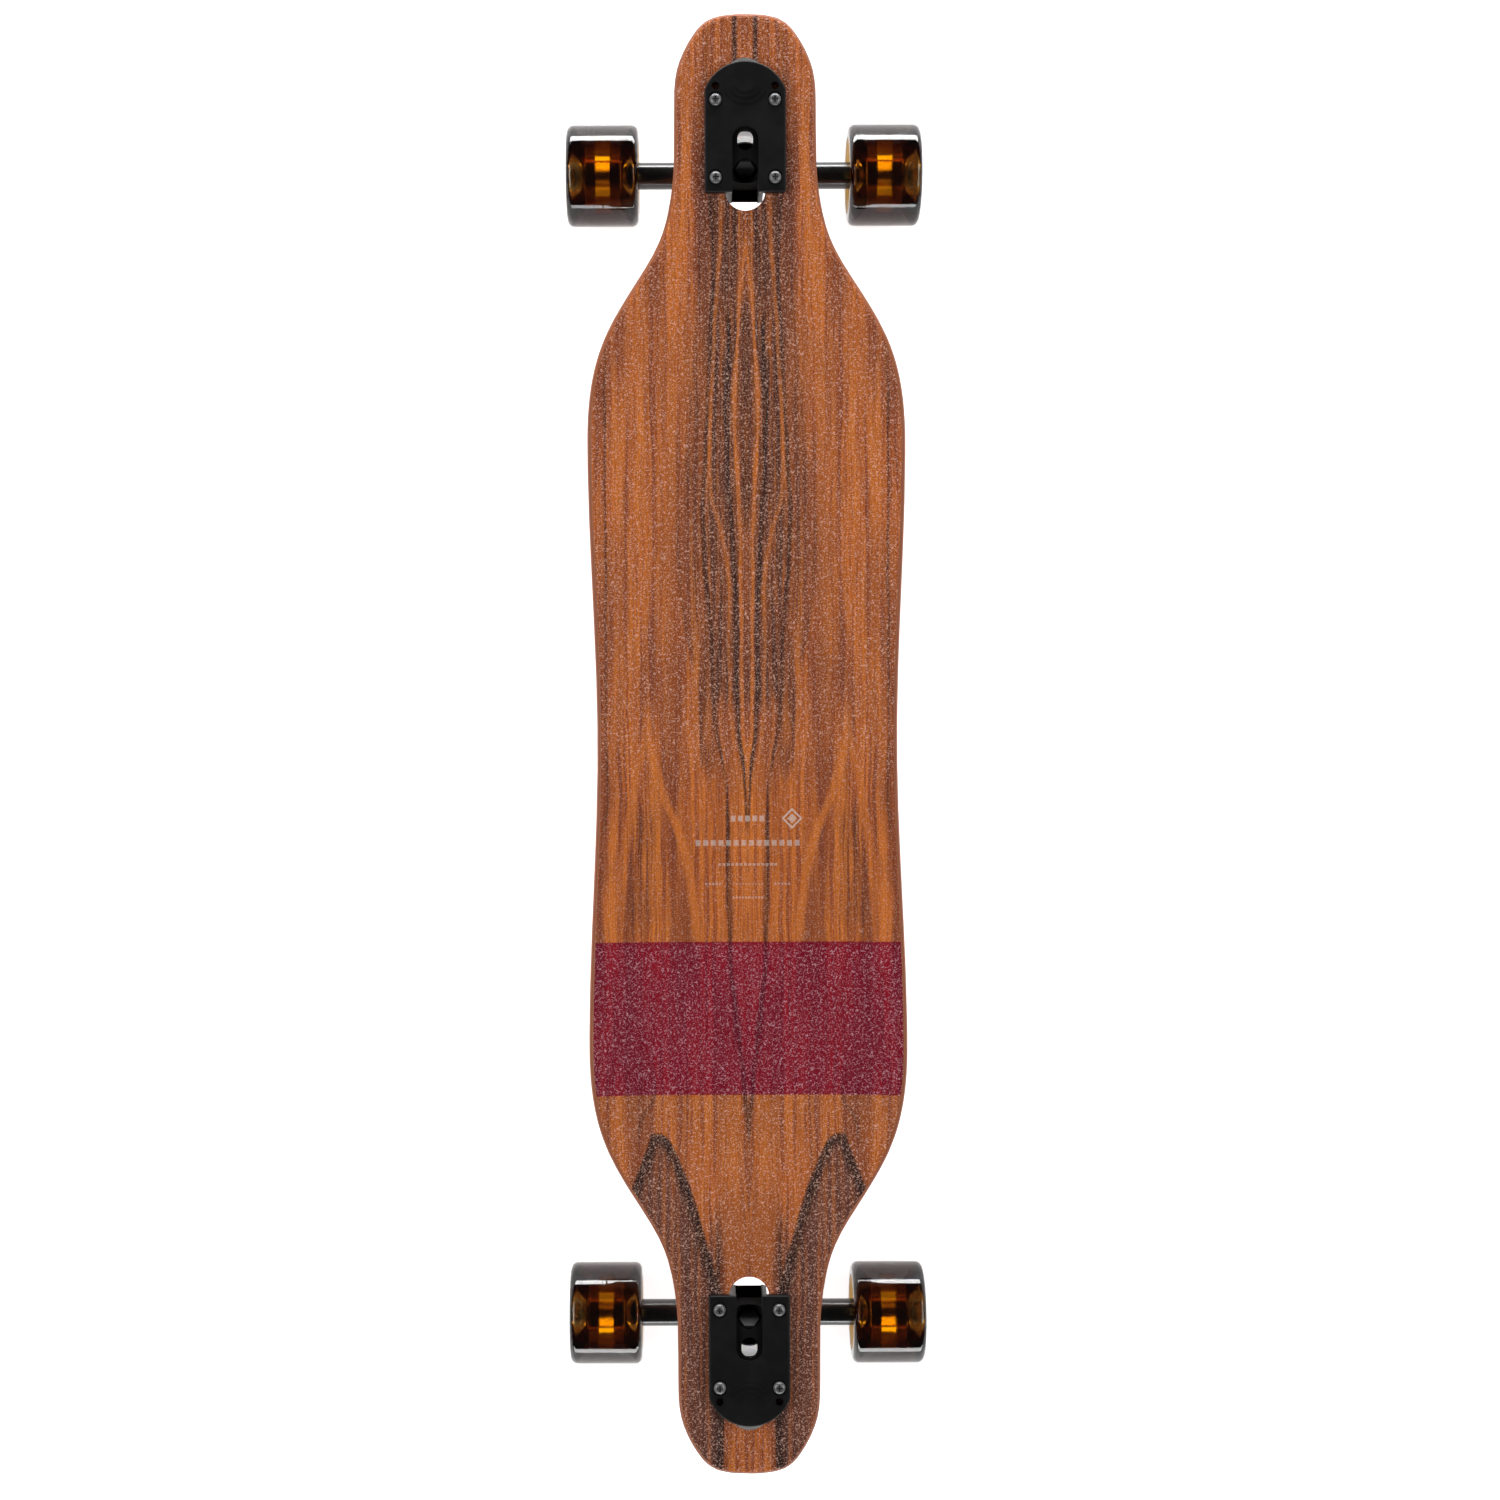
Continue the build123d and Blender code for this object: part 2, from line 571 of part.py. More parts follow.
def race(inner_r, outer_r):
    """A bearing race about the X axis at the origin, grooved for the balls."""
    with BuildPart() as ring:
        with BuildSketch(Plane.YZ.offset(-BEARING_WIDTH / 2)):
            Circle(outer_r)
            Circle(inner_r, mode=Mode.SUBTRACT)
        extrude(amount=BEARING_WIDTH)
        Torus(BALL_PITCH_R, GROOVE_R, rotation=(0, 90, 0), mode=Mode.SUBTRACT)
    return ring.part


inner_race = race(BEARING_BORE_R, RACE_INNER_R)
outer_race = race(RACE_OUTER_R, BEARING_R)
with BuildPart() as bearing_inner_races:
    for side in (-1, 1):
        with Locations(*[(side * WHEEL_X + x, AXLE_Y, AXLE_Z) for x in bearing_x]):
            add(inner_race)
write_pair("bearing_inner_races", bearing_inner_races.part)

# ---- Wheel pieces, made about the origin and moved to the four corners ----
CORE_HALF = 12.3
CORE_TUBE_R = 15.5
CORE_RIB_R = 19.0
CORE_RIB_HALF = 5.75
CORE_SHOULDER_R = 9.4
LIP_R = 5.0
FACE_INNER_R = 26.5
FACE_BEVEL = (4.0, 1.5)
CORE_COVER = 2.0
half_width = WHEEL_WIDTH / 2

with BuildPart() as wheel_core:
    with BuildSketch(Plane.XY):
        with BuildLine():
            Polyline(
                (CORE_HALF, BEARING_R),
                (CORE_HALF, CORE_TUBE_R),
                (CORE_RIB_HALF, CORE_TUBE_R),
                (CORE_RIB_HALF, CORE_RIB_R),
                (-CORE_RIB_HALF, CORE_RIB_R),
                (-CORE_RIB_HALF, CORE_TUBE_R),
                (-CORE_HALF, CORE_TUBE_R),
                (-CORE_HALF, BEARING_R),
                (-SPACER_LENGTH / 2, BEARING_R),
                (-SPACER_LENGTH / 2, CORE_SHOULDER_R),
                (SPACER_LENGTH / 2, CORE_SHOULDER_R),
                (SPACER_LENGTH / 2, BEARING_R),
                close=True,
            )
        make_face()
    revolve(axis=Axis.X)

with BuildPart() as urethane:
    with BuildSketch(Plane.XY):
        with BuildLine():
            Polyline(
                (CORE_HALF, CORE_TUBE_R),
                (CORE_HALF, CORE_TUBE_R + CORE_COVER),
                (half_width - FACE_BEVEL[0], FACE_INNER_R - FACE_BEVEL[1]),
                (half_width, FACE_INNER_R),
                (half_width, WHEEL_R),
                (-half_width, WHEEL_R),
                (-half_width, FACE_INNER_R),
                (FACE_BEVEL[0] - half_width, FACE_INNER_R - FACE_BEVEL[1]),
                (-CORE_HALF, CORE_TUBE_R + CORE_COVER),
                (-CORE_HALF, CORE_TUBE_R),
                (-CORE_RIB_HALF, CORE_TUBE_R),
                (-CORE_RIB_HALF, CORE_RIB_R),
                (CORE_RIB_HALF, CORE_RIB_R),
                (CORE_RIB_HALF, CORE_TUBE_R),
                close=True,
            )
        section = make_face()
        fillet(section.vertices().group_by(Axis.Y)[-1], radius=LIP_R)
    revolve(axis=Axis.X)

with BuildPart() as balls:
    for x in bearing_x:
        with Locations(Plane.YZ.offset(x)):
            with PolarLocations(BALL_PITCH_R, BALL_COUNT):
                Sphere(BALL_R)

with BuildPart() as outer_races:
    with Locations(*[(x, 0, 0) for x in bearing_x]):
        add(outer_race)

with BuildPart() as shields:
    for x in bearing_x:
        for face_x in (x - BEARING_WIDTH / 2, x + BEARING_WIDTH / 2 - SHIELD_THICKNESS):
            with BuildSketch(Plane.YZ.offset(face_x)):
                Circle(RACE_OUTER_R)
                Circle(RACE_INNER_R + SHIELD_GAP, mode=Mode.SUBTRACT)
            extrude(amount=SHIELD_THICKNESS)

wheel_pieces = {
    "wheel": urethane.part,
    "wheel_core": wheel_core.part,
    "bearing_outer_races": outer_races.part,
    "bearing_balls": balls.part,
    "bearing_shields": shields.part,
}
for end, y in (("front", AXLE_Y), ("rear", -AXLE_Y)):
    for side, x in (("left", -WHEEL_X), ("right", WHEEL_X)):
        for piece_name, piece in wheel_pieces.items():
            with BuildPart() as placed:
                with Locations((x, y, AXLE_Z)):
                    add(piece)
            write_piece(f"{end}_{side}_{piece_name}", placed.part)
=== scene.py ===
"""Drop-through longboard skateboard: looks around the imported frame. Lengths are metres."""
import json
import math

import bmesh
import bpy
from mathutils import Matrix, Vector


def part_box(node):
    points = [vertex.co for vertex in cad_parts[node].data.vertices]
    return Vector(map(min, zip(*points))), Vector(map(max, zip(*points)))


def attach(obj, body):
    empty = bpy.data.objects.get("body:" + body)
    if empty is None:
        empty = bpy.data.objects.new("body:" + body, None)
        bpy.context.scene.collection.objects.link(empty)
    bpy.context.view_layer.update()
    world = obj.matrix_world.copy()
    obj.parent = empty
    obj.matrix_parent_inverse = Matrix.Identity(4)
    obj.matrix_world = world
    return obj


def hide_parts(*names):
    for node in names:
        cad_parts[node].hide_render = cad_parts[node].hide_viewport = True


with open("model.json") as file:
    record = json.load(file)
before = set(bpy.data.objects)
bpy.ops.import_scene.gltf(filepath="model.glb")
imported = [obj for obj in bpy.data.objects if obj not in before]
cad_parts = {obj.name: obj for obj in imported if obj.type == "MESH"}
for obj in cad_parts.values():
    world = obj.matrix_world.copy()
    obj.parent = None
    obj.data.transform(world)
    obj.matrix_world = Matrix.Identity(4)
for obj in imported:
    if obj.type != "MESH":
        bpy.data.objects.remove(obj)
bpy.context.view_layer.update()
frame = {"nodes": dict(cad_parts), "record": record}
nodes = frame["nodes"]
MM = 0.001

ENDS = ("front", "rear")
SIDES = ("left", "right")
# The baseplates' raised arcs are the highest thing on them, this far above the deck.
PLATE_RELIEF_TOP = 6.4 * MM
DECK_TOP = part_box("front_baseplate")[1].z - PLATE_RELIEF_TOP
FLAT_HALF = 50 * MM
CONCAVE_RADIUS = 236 * MM
CORE_THICKNESS = 11 * MM
PLIES = 7
AXLE_Y = 0.410
AXLE_Z = 0.036


# ---- Node graphs ----
class Graph:
    """A material's node tree, with short calls for the nodes used here."""

    def __init__(self, name):
        self.material = bpy.data.materials.new(name)
        self.material.use_nodes = True
        self.tree = self.material.node_tree
        self.shader = self.tree.nodes["Principled BSDF"]
        self.output = self.tree.nodes["Material Output"]
        coordinates = self.tree.nodes.new("ShaderNodeTexCoord")
        self.point = coordinates.outputs["Object"]

    def put(self, socket, value):
        if isinstance(value, bpy.types.NodeSocket):
            self.tree.links.new(value, socket)
        elif isinstance(value, tuple) and len(value) == 3 and socket.type == "RGBA":
            socket.default_value = (*value, 1)
        else:
            socket.default_value = value

    def math(self, operation, *values, clamp=False):
        node = self.tree.nodes.new("ShaderNodeMath")
        node.operation = operation
        node.use_clamp = clamp
        for socket, value in zip(node.inputs, values):
            self.put(socket, value)
        return node.outputs[0]

    def ramp(self, value, low, high, out_low=0.0, out_high=1.0):
        """Smooth step from out_low to out_high as value goes from low to high."""
        node = self.tree.nodes.new("ShaderNodeMapRange")
        node.interpolation_type = "SMOOTHSTEP"
        node.inputs["From Min"].default_value = low
        node.inputs["From Max"].default_value = high
        node.inputs["To Min"].default_value = out_low
        node.inputs["To Max"].default_value = out_high
        self.put(node.inputs["Value"], value)
        return node.outputs["Result"]

    def curve(self, value, points):
        """A smooth curve through (value, result) points, both in 0 to 1."""
        node = self.tree.nodes.new("ShaderNodeFloatCurve")
        line = node.mapping.curves[0]
        while len(line.points) < len(points):
            line.points.new(0.5, 0.5)
        for point, place in zip(line.points, points):
            point.location = place
        node.mapping.update()
        self.put(node.inputs["Value"], value)
        return node.outputs[0]

    def split(self, vector):
        node = self.tree.nodes.new("ShaderNodeSeparateXYZ")
        self.put(node.inputs[0], vector)
        return node.outputs

    def join(self, x, y, z):
        node = self.tree.nodes.new("ShaderNodeCombineXYZ")
        for socket, value in zip(node.inputs, (x, y, z)):
            self.put(socket, value)
        return node.outputs[0]

    def scaled(self, scale, vector=None):
        node = self.tree.nodes.new("ShaderNodeVectorMath")
        node.operation = "MULTIPLY"
        self.put(node.inputs[0], vector or self.point)
        node.inputs[1].default_value = scale
        return node.outputs[0]

    def noise(self, vector, scale=1.0, detail=2.0, roughness=0.5, distortion=0.0):
        node = self.tree.nodes.new("ShaderNodeTexNoise")
        node.inputs["Scale"].default_value = scale
        node.inputs["Detail"].default_value = detail
        node.inputs["Roughness"].default_value = roughness
        node.inputs["Distortion"].default_value = distortion
        self.put(node.inputs["Vector"], vector)
        return node.outputs["Fac"]

    def mix(self, factor, first, second, blend="MIX"):
        node = self.tree.nodes.new("ShaderNodeMix")
        node.data_type = "RGBA"
        node.blend_type = blend
        self.put(node.inputs[0], factor)
        self.put(node.inputs[6], first)
        self.put(node.inputs[7], second)
        return node.outputs[2]

    def bump(self, height, distance, strength=1.0):
        node = self.tree.nodes.new("ShaderNodeBump")
        node.inputs["Strength"].default_value = strength
        node.inputs["Distance"].default_value = distance
        self.put(node.inputs["Height"], height)
        self.put(self.shader.inputs["Normal"], node.outputs["Normal"])

    def set(self, **values):
        for name, value in values.items():
            self.put(self.shader.inputs[name.replace("_", " ").title().replace("Ior", "IOR")], value)
        return self


# ---- Wood ----
ORANGE = (0.46, 0.106, 0.022)
AMBER = (0.63, 0.172, 0.026)
BROWN = (0.19, 0.046, 0.020)
UMBER = (0.078, 0.027, 0.018)
DARK = (0.024, 0.012, 0.011)
FLAME_BODY = (0.095, 0.036, 0.028)
FLAME_EDGE = (0.015, 0.009, 0.009)
PRINT = (0.72, 0.66, 0.60)
BAND_SHADE = (0.07, 0.004, 0.010)
BAND_RED = (0.19, 0.004, 0.018)
DYE = (0.56, 0.05, 0.70)
BAND = (-244.3, -137.8)
GRIT = (0.86, 0.52, 0.40)
BAND_GRIT = (0.56, 0.28, 0.32)
CURVE_REACH = 120.0
BOARD_MM = 1018.0
LINE_FADE = 12
BAND_BLUR = 0.3

# Grain lines of one leaf in mm: (Y, X) points, half width, strength, and the Y range shown.
DARK_LINES = [
    ([(508, 5), (400, 9), (330, 12), (200, 12), (100, 8.5), (24, 5.9), (-20, 3.2), (-56, 0.5)],
     2.4, 0.95, (-62, 300)),
    ([(508, 1), (300, 1), (180, 1.5), (120, 1)], 2.6, 0.85, (150, 310)),
    ([(508, 17), (400, 20), (300, 23), (200, 28.5), (139, 29), (77, 25.4), (15, 21.8), (-29, 15.6),
      (-90, 13.6), (-134, 12.4), (-187, 8.9), (-231, 3.5), (-262, 0)], 2.6, 0.8, (-285, 420)),
    ([(508, 30), (300, 42), (166, 48.5), (113, 45.8), (77, 41)], 2.2, 0.42, (60, 215)),
    ([(508, 60), (290, 97), (180, 98.5), (0, 98.5), (-130, 100)], 1.5, 0.6, (-60, 290)),
    ([(-230, 65), (-246, 67), (-262, 75), (-300, 80)], 2.2, 0.5, (-275, -232)),
    ([(508, 7), (450, 8), (400, 9)], 2.2, 0.9, (450, 520)),
    ([(508, 26), (400, 27)], 1.4, 0.5, (440, 520)),
    ([(-230, 26), (-360, 22), (-420, 28), (-508, 24)], 1.6, 0.8, (-520, -350)),
    ([(-230, 40), (-360, 36), (-420, 36), (-508, 30)], 1.6, 0.8, (-520, -350)),
]
DARK_ZONES = [
    ([(508, 12), (420, 15), (360, 15), (300, 15), (200, 17), (100, 15), (0, 10), (-100, 5)],
     21, 0.97, (30, 400)),
    ([(508, 30), (400, 27), (300, 31), (200, 37), (100, 34), (0, 28)], 9, 0.60, (-20, 420)),
    ([(100, 70), (0, 72), (-60, 72), (-110, 74)], 16, 0.50, (-125, -45)),
    ([(508, 14), (-330, 22), (-420, 24), (-508, 20)], 7, 0.75, (-520, -330)),
    ([(508, 40), (-330, 43), (-420, 40), (-508, 34)], 5, 0.75, (-520, -330)),
]
LIGHT_LINES = [
    ([(508, 0), (350, 0), (330, 2.5), (295, 5.5), (250, 8), (180, 6), (121, 4.6), (20, 2.6), (-56, 0)],
     1.8, 0.75, (-40, 352)),
    ([(508, 14), (360, 17), (280, 21.6), (189, 25), (120, 13), (60, 12.4), (0, 9), (-60, 5)],
     2.0, 0.5, (-80, 380)),
    ([(508, 40), (330, 48), (250, 52), (120, 56), (0, 60)], 9, 0.32, (60, 400)),
    ([(508, 70), (220, 86), (140, 88), (0, 90)], 5, 0.3, (0, 260)),
    ([(60, 69), (18, 69), (-29, 60), (-74, 44), (-137, 36), (-250, 30)], 4.5, 0.75, (-140, 24)),
    ([(60, 69), (18, 69), (-29, 79), (-74, 86), (-137, 92)], 4.5, 0.5, (-140, 24)),
    ([(-230, 6), (-260, 6.5), (-300, 3), (-340, 2)], 1.4, 0.5, (-340, -225)),
    ([(-230, 14), (-400, 9)], 12, 0.28, (-395, -250)),
]


def board_curve(g, along, points):
    """X in mm of a grain line at each Y, from its (Y, X) points."""
    placed = sorted((y / BOARD_MM + 0.5, x / CURVE_REACH) for y, x in points)
    return g.math("MULTIPLY", g.curve(along, placed), CURVE_REACH)


def grain_lines(g, lines, across, along, y_mm):
    """The strongest of a set of grain lines at each point."""
    total = None
    for points, half_width, strength, (y_low, y_high) in lines:
        away = g.math("ABSOLUTE", g.math("SUBTRACT", across, board_curve(g, along, points)))
        line = g.ramp(away, half_width, half_width * 0.25, 0, strength)
        starts = g.ramp(y_mm, y_low - LINE_FADE, y_low + LINE_FADE)
        shown = g.math("MULTIPLY", starts, g.ramp(y_mm, y_high + LINE_FADE, y_high - LINE_FADE))
        line = g.math("MULTIPLY", line, shown)
        total = line if total is None else g.math("MAXIMUM", total, line)
    return total


# The flames' tips, how far in their inner edges start and stop, and where their outer edges start.
FLAME_TIP_Y = -271.0
FLAME_INNER_X = 62.0
FLAME_NEAREST_X = 17.0
FLAME_OUTER_X = 68.0


def flames(g, across, y_mm):
    """The two dark flames ahead of the tail: a filled body and a blacker edge, in mm."""
    depth = g.math("SUBTRACT", FLAME_TIP_Y, y_mm)
    spread = g.math("MULTIPLY", g.math("POWER", g.math("MAXIMUM", depth, 0.01), 0.62), 2.25)
    inner = g.math("MAXIMUM", g.math("SUBTRACT", FLAME_INNER_X, spread), FLAME_NEAREST_X)
    outer = g.math("ADD", FLAME_OUTER_X, g.math("MULTIPLY", depth, 0.34))
    inside = g.math("MINIMUM", g.math("SUBTRACT", across, inner), g.math("SUBTRACT", outer, across))
    inside = g.math("MINIMUM", inside, g.math("MULTIPLY", depth, 0.8))
    body = g.ramp(inside, -0.5, 3.0)
    edge = g.math("MULTIPLY", g.ramp(inside, -1.0, 1.0), g.ramp(inside, 11.0, 4.0))
    return body, edge


def printed_marks(g, x_mm, y_mm):
    """Plain dashed rows and a diamond outline, with no meaning."""
    marks = None
    for cx, cy, half_x, half_y, weight, pitch in MARK_BARS:
        near_x = g.ramp(g.math("ABSOLUTE", g.math("SUBTRACT", x_mm, cx)), half_x + 0.15, half_x - 0.15)
        near_y = g.ramp(g.math("ABSOLUTE", g.math("SUBTRACT", y_mm, cy)), half_y + 0.15, half_y - 0.15)
        phase = g.math("FRACT", g.math("DIVIDE", g.math("ADD", x_mm, 200 * pitch - cx + half_x), pitch))
        dash = g.ramp(g.math("ABSOLUTE", g.math("SUBTRACT", phase, 0.5)), 0.36, 0.30)
        bar = g.math("MULTIPLY", g.math("MULTIPLY", g.math("MULTIPLY", near_x, near_y), dash), weight)
        marks = bar if marks is None else g.math("MAXIMUM", marks, bar)
    off_x = g.math("ABSOLUTE", g.math("SUBTRACT", x_mm, 31.0))
    off_y = g.math("ABSOLUTE", g.math("SUBTRACT", y_mm, -52.0))
    size = g.math("ADD", off_x, off_y)
    ring = g.ramp(g.math("ABSOLUTE", g.math("SUBTRACT", size, 6.4)), 1.0, 0.6, 0, 0.62)
    heart = g.ramp(size, 3.6, 3.2, 0, 0.5)
    return g.math("MAXIMUM", marks, g.math("MAXIMUM", ring, heart))


# Rows of dashes: centre X, Y, half length, half height, strength and pitch, in mm.
MARK_BARS = [
    (0, -52, 12.5, 2.0, 0.44, 5.0),
    (0, -69, 37.1, 2.0, 0.40, 5.3),
    (0, -84, 21, 0.9, 0.34, 3.0),
    (-24, -97.5, 6, 0.8, 0.32, 2.4),
    (24, -97.5, 6, 0.8, 0.32, 2.4),
    (0, -97.5, 11, 0.6, 0.2, 2.2),
    (0, -107, 11, 0.7, 0.32, 2.2),
]


def veneer(name, riding_side):
    """Book-matched rosewood-like veneer; the riding side adds the dyed band, dashes and clear grit."""
    g = Graph(name)
    x, y, z = g.split(g.point)
    x_mm = g.math("MULTIPLY", x, 1000)
    y_mm = g.math("MULTIPLY", y, 1000)
    mirrored = g.math("ABSOLUTE", x_mm)
    along = g.math("ADD", g.math("DIVIDE", y_mm, BOARD_MM), 0.5)
    # Grain runs along Y, so every noise is stretched that way; slow wobble bends the lines.
    leaf = g.join(mirrored, y_mm, 0.0)
    wobble = g.noise(g.scaled((0.035, 0.010, 1), leaf), 1.0, 2, 0.5)
    ripple = g.noise(g.scaled((0.16, 0.030, 1), leaf), 1.0, 2, 0.5)
    across = g.math("ADD", mirrored, g.math("MULTIPLY", g.math("SUBTRACT", wobble, 0.5), 7.0))
    across = g.math("ADD", across, g.math("MULTIPLY", g.math("SUBTRACT", ripple, 0.5), 2.2))
    bent = g.join(across, y_mm, 0.0)
    broad = g.noise(g.scaled((0.045, 0.0042, 1), bent), 1.0, 2, 0.5)
    stripes = g.noise(g.scaled((0.33, 0.0065, 1), bent), 1.0, 3, 0.62)
    fine = g.noise(g.scaled((1.35, 0.020, 1), bent), 1.0, 2, 0.6)
    pores = g.noise(g.scaled((3.2, 0.11, 1), bent), 1.0, 1, 0.5)

    tone = g.mix(g.ramp(stripes, 0.38, 0.62), ORANGE, AMBER)
    tone = g.mix(g.ramp(broad, 0.60, 0.38, 0, 0.70), tone, BROWN)
    tone = g.mix(g.ramp(stripes, 0.50, 0.34, 0, 0.75), tone, BROWN)
    tone = g.mix(g.ramp(fine, 0.54, 0.36, 0, 0.60), tone, BROWN)
    zone = grain_lines(g, DARK_ZONES, across, along, y_mm)
    broken_zone = g.math("MULTIPLY", zone, g.ramp(stripes, 0.62, 0.42, 0.30, 1.0))
    tone = g.mix(broken_zone, tone, UMBER)
    threads = g.ramp(g.noise(g.scaled((0.75, 0.010, 1), bent), 1.0, 2, 0.6), 0.46, 0.36)
    tone = g.mix(g.math("MULTIPLY", g.math("MULTIPLY", threads, zone), 0.85), tone, DARK)
    dark = grain_lines(g, DARK_LINES, across, along, y_mm)
    dark = g.math("MULTIPLY", dark, g.ramp(fine, 0.70, 0.40, 0.55, 1.0))
    tone = g.mix(dark, tone, DARK)
    light = grain_lines(g, LIGHT_LINES, across, along, y_mm)
    light = g.math("MULTIPLY", light, g.ramp(fine, 0.30, 0.55, 0.55, 1.0))
    tone = g.mix(light, tone, AMBER)
    body, edge = flames(g, across, y_mm)
    tone = g.mix(g.math("MULTIPLY", body, g.ramp(stripes, 0.70, 0.40, 0.45, 0.85)), tone, FLAME_BODY)
    tone = g.mix(g.math("MULTIPLY", edge, g.ramp(fine, 0.62, 0.42, 0.70, 0.98)), tone, FLAME_EDGE)
    tone = g.mix(g.ramp(pores, 0.40, 0.28, 0, 0.45), tone, DARK)

    height = g.math("MULTIPLY", pores, 0.15)
    rough = g.ramp(stripes, 0.3, 0.7, 0.34, 0.42)
    if riding_side:
        inked = g.math("MULTIPLY", g.ramp(y_mm, BAND[0] - BAND_BLUR, BAND[0] + BAND_BLUR),
                       g.ramp(y_mm, BAND[1] + BAND_BLUR, BAND[1] - BAND_BLUR))
        dyed = g.mix(0.34, g.mix(1.0, tone, DYE, "MULTIPLY"), BAND_RED)
        tone = g.mix(inked, tone, dyed)
        tone = g.mix(printed_marks(g, x_mm, y_mm), tone, PRINT)
        # Clear grit: short pale squiggles where a thin contour of one noise crosses patches of another.
        flat_point = g.join(x_mm, y_mm, 0.0)
        worms = g.noise(g.scaled((0.41, 0.41, 1), flat_point), 1.0, 1, 0.6, 0.8)
        contour = g.math("ABSOLUTE", g.math("SUBTRACT", worms, 0.5))
        patches = g.noise(g.scaled((0.60, 0.60, 1), flat_point), 1.0, 1, 0.5)
        squiggle = g.math("MULTIPLY", g.ramp(contour, 0.046, 0.020), g.ramp(patches, 0.46, 0.54))
        grain = g.noise(g.scaled((1.1, 1.1, 1), flat_point), 1.0, 1, 0.5)
        speck = g.ramp(grain, 0.60, 0.70, 0, 0.60)
        grit = g.math("MAXIMUM", squiggle, speck)
        shade = g.ramp(grain, 0.46, 0.34, 0, 0.35)
        tone = g.mix(shade, tone, g.mix(inked, DARK, BAND_SHADE))
        grit_tone = g.mix(inked, g.mix(0.30, GRIT, tone), BAND_GRIT)
        # The bare wood between the printed marks and the band has the thinnest grit.
        bare = g.math("MULTIPLY", g.ramp(y_mm, 20, -60), g.ramp(y_mm, -143, -138))
        cover = g.math("MULTIPLY", grit, g.ramp(bare, 0, 1, 0.84, 0.40))
        tone = g.mix(cover, tone, grit_tone)
        height = g.math("ADD", height, grit)
        rough = g.math("ADD", rough, g.math("MULTIPLY", grit, 0.15))
    g.bump(height, 0.00012, 0.8)
    g.set(base_color=tone, roughness=rough)
    g.shader.inputs["Specular IOR Level"].default_value = 0.12
    return g.material


def core_wood():
    """Lacquered plies at the rim, following the deck's concave top."""
    g = Graph("core_wood")
    x, y, z = g.split(g.point)
    past_flat = g.math("MAXIMUM", g.math("SUBTRACT", g.math("ABSOLUTE", x), FLAT_HALF), 0.0)
    square = g.math("SUBTRACT", CONCAVE_RADIUS**2, g.math("MULTIPLY", past_flat, past_flat))
    rise = g.math("SUBTRACT", CONCAVE_RADIUS, g.math("SQRT", square))
    depth = g.math("SUBTRACT", g.math("ADD", rise, DECK_TOP), z)
    ply = g.math("FRACT", g.math("DIVIDE", depth, 2 * CORE_THICKNESS / PLIES))
    seam = g.ramp(g.math("ABSOLUTE", g.math("SUBTRACT", ply, 0.5)), 0.10, 0.18)
    streaks = g.noise(g.scaled((120, 45, 900)), 1.0, 3, 0.6)
    tone = g.mix(g.ramp(streaks, 0.3, 0.7), (0.27, 0.075, 0.022), (0.42, 0.135, 0.040))
    tone = g.mix(g.math("MULTIPLY", seam, 0.35), (0.22, 0.060, 0.020), tone)
    # The walls of the truck cutouts are darkened with painted shade, where they lie in shadow under the
    # baseplates.
    along = g.math("ABSOLUTE", y)
    cutout_wall_shade = g.math("MULTIPLY", g.ramp(g.math("ABSOLUTE", x), 0.0170, 0.0150), g.ramp(along, 0.366, 0.369))
    cutout_wall_shade = g.math("MULTIPLY", cutout_wall_shade, g.ramp(along, 0.484, 0.481))
    tone = g.mix(cutout_wall_shade, tone, (0.016, 0.010, 0.008))
    g.bump(streaks, 0.00005, 0.4)
    g.set(base_color=tone, roughness=g.ramp(streaks, 0.3, 0.7, 0.36, 0.48))
    g.shader.inputs["Specular IOR Level"].default_value = 0.3
    return g.material


# ---- Metals and plastics ----
def painted(name, colour, roughness, grain=900.0, depth=0.00003):
    """Satin paint with a faint orange-peel and slightly uneven sheen."""
    g = Graph(name)
    peel = g.noise(g.point, grain, 2, 0.5)
    cloud = g.noise(g.point, 60.0, 3, 0.6)
    g.set(base_color=g.mix(g.ramp(cloud, 0.3, 0.7), colour, tuple(1.35 * c for c in colour)),
          roughness=g.ramp(cloud, 0.3, 0.7, roughness - 0.05, roughness + 0.05))
    g.bump(peel, depth, 0.5)
    return g.material


def metal(name, colour, roughness, brush=(300.0, 300.0, 300.0)):
    """Plated or turned steel with fine directional scratches."""
    g = Graph(name)
    scratches = g.noise(g.scaled(brush), 1.0, 3, 0.6)
    cloud = g.noise(g.point, 90.0, 2, 0.5)
    darker = tuple(0.72 * c for c in colour)
    g.set(base_color=g.mix(g.ramp(cloud, 0.3, 0.7), darker, colour),
          roughness=g.ramp(scratches, 0.3, 0.7, roughness - 0.06, roughness + 0.08), metallic=1.0)
    g.bump(scratches, 0.00002, 0.4)
    return g.material


def soft(name, colour, roughness, subsurface=0.0):
    """Moulded rubber or urethane."""
    g = Graph(name)
    cloud = g.noise(g.point, 160.0, 3, 0.6)
    g.set(base_color=g.mix(g.ramp(cloud, 0.3, 0.7), tuple(0.82 * c for c in colour), colour),
          roughness=g.ramp(cloud, 0.3, 0.7, roughness - 0.06, roughness + 0.06))
    g.shader.inputs["Subsurface Weight"].default_value = subsurface
    g.shader.inputs["Subsurface Scale"].default_value = 0.004
    g.bump(cloud, 0.00003, 0.4)
    return g.material


